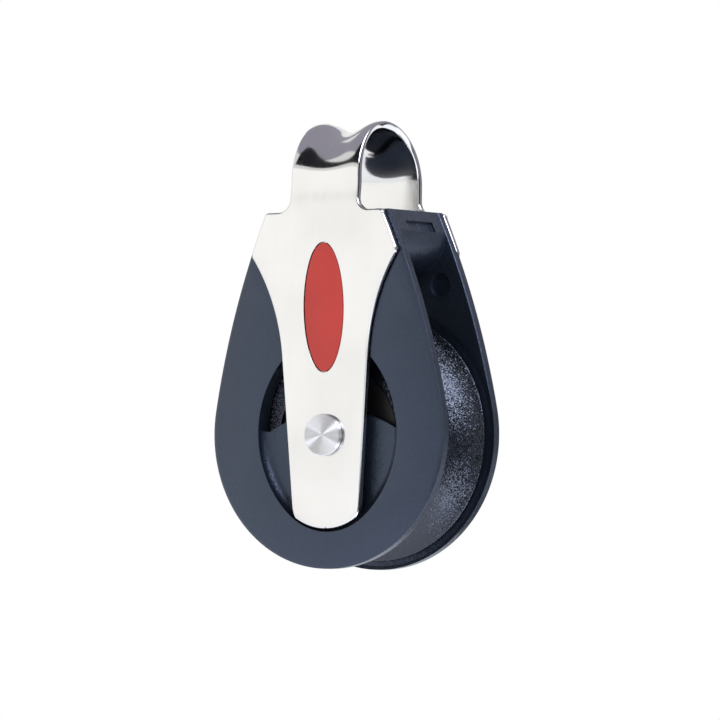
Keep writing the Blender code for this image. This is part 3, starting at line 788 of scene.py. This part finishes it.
def spread(tree, value, low, high):
    """The noise's usual range, 0.3 to 0.7, mapped onto low to high."""
    node = tree.nodes.new("ShaderNodeMapRange")
    node.inputs["From Min"].default_value = 0.3
    node.inputs["From Max"].default_value = 0.7
    node.inputs["To Min"].default_value = low
    node.inputs["To Max"].default_value = high
    tree.links.new(value, node.inputs["Value"])
    return node.outputs["Result"]


def shade_mix(tree, value, dark, light):
    """Colours between dark and light, as the noise rises."""
    node = tree.nodes.new("ShaderNodeMix")
    node.data_type = "RGBA"
    node.inputs["A"].default_value = (*dark, 1)
    node.inputs["B"].default_value = (*light, 1)
    tree.links.new(spread(tree, value, 0, 1), node.inputs["Factor"])
    return node.outputs["Result"]


def soft_edges(tree, radius):
    """A normal that rounds the edges off by the radius."""
    node = tree.nodes.new("ShaderNodeBevel")
    node.samples = 6
    node.inputs["Radius"].default_value = radius
    return node.outputs["Normal"]


def bump(tree, height, distance, strength=1.0, normal=None):
    """A normal from a height between 0 and 1, over the given distance."""
    node = tree.nodes.new("ShaderNodeBump")
    node.inputs["Distance"].default_value = distance
    node.inputs["Strength"].default_value = strength
    tree.links.new(height, node.inputs["Height"])
    if normal:
        tree.links.new(normal, node.inputs["Normal"])
    return node.outputs["Normal"]


def facets(tree, cells, tilt, normal=None):
    """A normal that leans at random from cell to cell, as eroded moulds leave it; cells is per metre."""
    place = tree.nodes.new("ShaderNodeTexCoord")
    pattern = tree.nodes.new("ShaderNodeTexVoronoi")
    pattern.inputs["Scale"].default_value = cells
    tree.links.new(place.outputs["Object"], pattern.inputs["Vector"])
    centred = tree.nodes.new("ShaderNodeVectorMath")
    centred.operation = "SUBTRACT"
    centred.inputs[1].default_value = (0.5, 0.5, 0.5)
    tree.links.new(pattern.outputs["Color"], centred.inputs[0])
    lean = tree.nodes.new("ShaderNodeVectorMath")
    lean.operation = "SCALE"
    lean.inputs["Scale"].default_value = tilt
    tree.links.new(centred.outputs["Vector"], lean.inputs[0])
    total = tree.nodes.new("ShaderNodeVectorMath")
    total.operation = "ADD"
    tree.links.new(lean.outputs["Vector"], total.inputs[0])
    base = normal or tree.nodes.new("ShaderNodeNewGeometry").outputs["Normal"]
    tree.links.new(base, total.inputs[1])
    unit = tree.nodes.new("ShaderNodeVectorMath")
    unit.operation = "NORMALIZE"
    tree.links.new(total.outputs["Vector"], unit.inputs[0])
    return unit.outputs["Vector"]


def moulded(name, dark, light, roughness, grain, depth, edge, ior=1.5, tint=(1, 1, 1), tilt=0.0):
    """A grained moulding: grain is in features per metre, depth and edge rounding in metres."""
    material, tree, shader = new_material(name)
    shader.inputs["IOR"].default_value = ior
    shader.inputs["Specular Tint"].default_value = (*tint, 1)
    fine = object_noise(tree, grain)
    broad = object_noise(tree, grain / PATCH_SIZE)
    tree.links.new(shade_mix(tree, broad, dark, light), shader.inputs["Base Color"])
    gloss = spread(tree, fine, roughness - ROUGHNESS_SPREAD, roughness + ROUGHNESS_SPREAD)
    tree.links.new(gloss, shader.inputs["Roughness"])
    normal = soft_edges(tree, edge) if edge else None
    normal = bump(tree, fine, depth, normal=normal)
    if tilt:
        normal = facets(tree, grain * FACET_SHARE, tilt, normal)
    tree.links.new(normal, shader.inputs["Normal"])
    return material


def satin_steel(name, dark, light, satin, polished):
    """Satin on the plates and polished over the crown; satin and polished are roughnesses."""
    material, tree, shader = new_material(name)
    shader.inputs["Metallic"].default_value = 1.0
    fine = object_noise(tree, scale=900, detail=3.0, stretch=(1, 1, 0.12))
    broad = object_noise(tree, scale=60)
    tree.links.new(shade_mix(tree, broad, dark, light), shader.inputs["Base Color"])
    place = tree.nodes.new("ShaderNodeTexCoord")
    split = tree.nodes.new("ShaderNodeSeparateXYZ")
    rise = tree.nodes.new("ShaderNodeMapRange")
    rise.inputs["From Min"].default_value = POLISH_START
    rise.inputs["From Max"].default_value = POLISH_END
    rise.inputs["To Min"].default_value = satin
    rise.inputs["To Max"].default_value = polished
    tree.links.new(place.outputs["Object"], split.inputs["Vector"])
    tree.links.new(split.outputs["Z"], rise.inputs["Value"])
    worn = tree.nodes.new("ShaderNodeMath")
    worn.operation = "MULTIPLY"
    tree.links.new(rise.outputs["Result"], worn.inputs[0])
    tree.links.new(spread(tree, fine, 0.85, 1.15), worn.inputs[1])
    tree.links.new(worn.outputs["Value"], shader.inputs["Roughness"])
    normal = bump(tree, fine, 0.002 * MM, 0.5, soft_edges(tree, 0.1 * MM))
    tree.links.new(normal, shader.inputs["Normal"])
    return material


def turned_steel(name):
    """Rings about the axle, which stretch each highlight out along the radius."""
    material, tree, shader = new_material(name)
    shader.inputs["Metallic"].default_value = 1.0
    shader.inputs["Anisotropic"].default_value = 1.0
    shader.inputs["Anisotropic Rotation"].default_value = 0.25
    tangent = tree.nodes.new("ShaderNodeTangent")
    tangent.direction_type = "RADIAL"
    tangent.axis = "Y"
    tree.links.new(tangent.outputs["Tangent"], shader.inputs["Tangent"])
    fine = object_noise(tree, scale=900)
    colour = shade_mix(tree, fine, (0.76, 0.755, 0.76), (0.82, 0.815, 0.815))
    tree.links.new(colour, shader.inputs["Base Color"])
    tree.links.new(spread(tree, fine, 0.5, 0.56), shader.inputs["Roughness"])
    return material


# Studio


def make_world():
    """Even white light from all round."""
    world = bpy.data.worlds.new("studio")
    bpy.context.scene.world = world
    world.use_nodes = True
    background = world.node_tree.nodes["Background"]
    background.inputs["Color"].default_value = (1, 1, 1, 1)
    background.inputs["Strength"].default_value = 1.0


def make_floor():
    """A plain pale floor under the block."""
    bm = bmesh.new()
    bmesh.ops.create_grid(bm, x_segments=1, y_segments=1, size=FLOOR_HALF)
    floor = make_object("floor", bm)
    floor.location.z = FLOOR_Z
    material, tree, shader = new_material("floor_paint")
    colour = shade_mix(tree, object_noise(tree, scale=3), (0.9, 0.9, 0.9), (0.93, 0.93, 0.93))
    tree.links.new(colour, shader.inputs["Base Color"])
    shader.inputs["Roughness"].default_value = 0.8
    floor.data.materials.append(material)


def direction(azimuth, elevation):
    """The unit vector to that side; azimuth 0 is the front, and grows to the right."""
    return Vector((sin(azimuth) * cos(elevation), -cos(azimuth) * cos(elevation), sin(elevation)))


def add_card(name, azimuths, elevations, colour, strength, distance=CARD_DISTANCE):
    """A curved studio card about the axle, which only shows in reflections; angles are degrees."""
    bm = bmesh.new()
    middle = Vector((0, 0, -AXLE_BELOW_EYE))
    rows = []
    for i in range(CARD_STEPS + 1):
        elevation = radians(elevations[0] + (elevations[1] - elevations[0]) * i / CARD_STEPS)
        row = []
        for j in range(CARD_STEPS + 1):
            azimuth = radians(azimuths[0] + (azimuths[1] - azimuths[0]) * j / CARD_STEPS)
            row.append(bm.verts.new(direction(azimuth, elevation) * distance + middle))
        rows.append(row)
    for low, high in zip(rows, rows[1:]):
        for j in range(CARD_STEPS):
            bm.faces.new((low[j], low[j + 1], high[j + 1], high[j]))
    card = make_object(name, bm)
    material = bpy.data.materials.new(name)
    material.use_nodes = True
    tree = material.node_tree
    tree.nodes.clear()
    glow = tree.nodes.new("ShaderNodeEmission")
    glow.inputs["Color"].default_value = (*colour, 1)
    glow.inputs["Strength"].default_value = strength
    output = tree.nodes.new("ShaderNodeOutputMaterial")
    tree.links.new(glow.outputs["Emission"], output.inputs["Surface"])
    card.data.materials.append(material)
    card.visible_camera = False
    card.visible_diffuse = False
    card.visible_shadow = False


def add_softbox(name, azimuth, elevation, size, radiance, colour, distance=LIGHT_DISTANCE):
    """A rectangular light that faces the axle; size is its width and height in metres."""
    aim = Vector((0, 0, -AXLE_BELOW_EYE))
    place = aim + direction(radians(azimuth), radians(elevation)) * distance
    light = bpy.data.lights.new(name, "AREA")
    light.shape = "RECTANGLE"
    light.size, light.size_y = size
    light.energy = radiance * pi * size[0] * size[1]
    light.color = colour
    obj = bpy.data.objects.new(name, light)
    obj.location = place
    obj.rotation_euler = (aim - place).to_track_quat("-Z", "Y").to_euler()
    obj.visible_camera = False
    bpy.context.scene.collection.objects.link(obj)


def make_lights():
    """A key, a cool light from the upper right, a small one below, and the cards round them."""
    black = (0.02, 0.02, 0.025)
    lilac = (0.86, 0.83, 1.0)
    cool = (0.78, 0.84, 1.0)
    warm = (1, 0.985, 0.95)
    add_card("right_flag", (44, 128), (-8, 27), black, 1.0)
    add_card("low_right_flag", (20, 128), (-30, -8), black, 1.0, 0.12)
    add_card("low_rear_flag", (140, 166), (-62, -8), black, 1.0, 0.075)
    add_card("rear_flag", (138, 163), (-9, 3), black, 1.0, 0.3)
    add_card("rear_right_grey", (128, 172), (-8, 30), lilac, 0.35)
    add_card("front_flag", (-45, 28), (29, 64), black, 1.0, 1.5)
    add_card("ceiling", (-180, 180), (60, 89.99), lilac, 0.46)
    add_card("left_ceiling", (-120, -40), (44, 60), lilac, 0.46)
    add_card("rear_ceiling", (128, 240), (30, 60), lilac, 0.46)
    add_softbox("key", -38, 10, (1.6, 0.75), 0.48, warm)
    add_softbox("right_softbox", 80, 42, (1.5, 0.7), 9.5, cool)
    add_softbox("under_light", 65, -44, (0.05, 0.02), 6.0, cool, 0.09)


def make_camera():
    """A long lens, a little below the block's middle and to its right."""
    back = direction(CAMERA_AZIMUTH, CAMERA_ELEVATION)
    right = (-back).cross(Vector((0, 0, 1))).normalized()
    up = right.cross(-back)
    across = right * cos(CAMERA_ROLL) + up * sin(CAMERA_ROLL)
    upward = up * cos(CAMERA_ROLL) - right * sin(CAMERA_ROLL)
    shift_right, shift_up, height = CAMERA_TARGET
    target = across * shift_right + upward * shift_up + Vector((0, 0, height))
    place = target + back * CAMERA_DISTANCE
    camera = bpy.data.cameras.new("camera")
    camera.sensor_width = 36
    camera.lens = CAMERA_LENS
    camera.clip_end = LENS_REACH
    obj = bpy.data.objects.new("camera", camera)
    turn = Matrix((across, upward, back)).transposed()
    obj.matrix_world = Matrix.Translation(place) @ turn.to_4x4()
    bpy.context.scene.collection.objects.link(obj)
    bpy.context.scene.camera = obj


def make_materials():
    """Every finish, by the record's slot."""
    return {
        "cheek_nylon": moulded(
            "cheek_nylon", (0.003, 0.005, 0.008), (0.005, 0.007, 0.011), roughness=0.36, grain=4200,
            depth=0.024 * MM, edge=0.12 * MM, ior=1.69, tint=(0.6, 0.72, 1.0), tilt=0.22),
        "sheave_acetal": moulded(
            "sheave_acetal", (0.002, 0.0025, 0.004), (0.003, 0.004, 0.006), roughness=0.2, grain=3400,
            depth=0.04 * MM, edge=0, ior=1.6, tint=(0.75, 0.82, 1.0), tilt=0.45),
        "race_acetal": moulded(
            "race_acetal", (0.003, 0.003, 0.0035), (0.005, 0.005, 0.006), roughness=0.45, grain=3000,
            depth=0.004 * MM, edge=0, ior=1.38),
        "ball_acetal": moulded(
            "ball_acetal", (0.62, 0.61, 0.58), (0.7, 0.69, 0.66), roughness=0.28, grain=900,
            depth=0.001 * MM, edge=0),
        "badge_red": moulded(
            "badge_red", (0.31, 0.012, 0.006), (0.38, 0.018, 0.01), roughness=0.5, grain=2400,
            depth=0.006 * MM, edge=0),
        "strap_stainless": satin_steel(
            "strap_stainless", (0.59, 0.586, 0.575), (0.65, 0.646, 0.635), satin=0.2, polished=0.1),
        "axle_stainless": turned_steel("axle_stainless"),
    }


def make_pieces(materials):
    """Each piece on its body, with the nodes it stands for and its slot."""

    def place(obj, body, nodes, slot):
        finish_piece(obj, body, nodes, materials[slot])

    cheek = make_cheek()
    rear = make_rear_cheek(cheek)
    place(cheek, "block_frame", ["front_cheek"], "cheek_nylon")
    place(rear, "block_frame", ["rear_cheek"], "cheek_nylon")
    place(make_strap(), "block_frame", ["head_strap"], "strap_stainless")
    for name, side in (("front", -1), ("rear", 1)):
        place(make_badge(f"badge_{name}", side), "block_frame", [f"{name}_badge"], "badge_red")
        place(make_retainer(f"retainer_{name}", side), "sheave_wheel", [f"{name}_retainer"], "race_acetal")
    place(make_axle(), "block_frame", ["axle_pin"], "axle_stainless")
    place(make_race(), "block_frame", ["inner_race"], "race_acetal")
    place(make_sheave(), "sheave_wheel", ["sheave"], "sheave_acetal")
    ball_nodes = [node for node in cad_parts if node.startswith("ball_")]
    place(make_balls(), "ball_set", ball_nodes, "ball_acetal")


def main():
    """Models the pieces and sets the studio."""
    make_pieces(make_materials())
    make_world()
    make_floor()
    make_lights()
    make_camera()
    bpy.context.scene.view_settings.view_transform = "Standard"


main()
